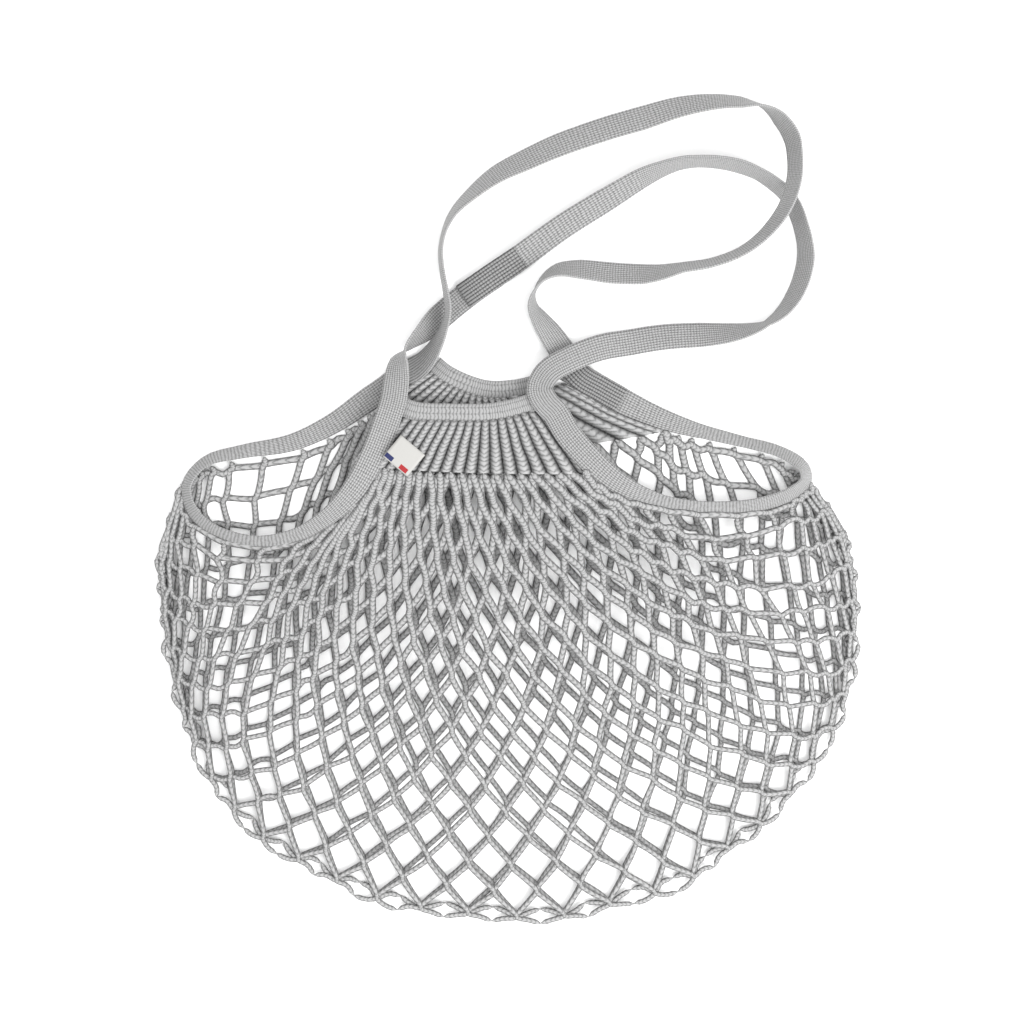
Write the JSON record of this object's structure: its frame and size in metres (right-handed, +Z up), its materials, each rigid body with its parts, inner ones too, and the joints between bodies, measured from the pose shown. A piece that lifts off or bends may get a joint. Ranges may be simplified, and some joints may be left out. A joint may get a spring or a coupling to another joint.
{
  "type": "string shopping bag",
  "caption": "Net shopping bag laid flat: open net pouch with ribbed yokes at the mouth and two long woven tapes that bind the side openings and form the handles.",
  "frame": {"origin": "on the surface that the bag lies on, below the middle of its bounding box", "axes": "+Z up from that surface, +Y from the bottom fold of the net towards the handles, +X across the bag, to the right as the front faces up"},
  "size_m": [0.4082, 0.4813, 0.0203],
  "materials": {
    "cotton_net": "matte",
    "cotton_rib": "matte",
    "cotton_tape": "matte",
    "woven_label": "matte"
  },
  "bodies": {
    "root": {"net_front": "cotton_net", "net_back": "cotton_net", "rib_yoke_front": "cotton_rib", "rib_yoke_back": "cotton_rib", "mouth_band_front": "cotton_tape", "mouth_band_back": "cotton_tape", "binding_left": "cotton_tape", "binding_right": "cotton_tape", "handle_back": "cotton_tape", "handle_front": "cotton_tape", "sewn_label": "woven_label"}
  },
  "joints": []
}
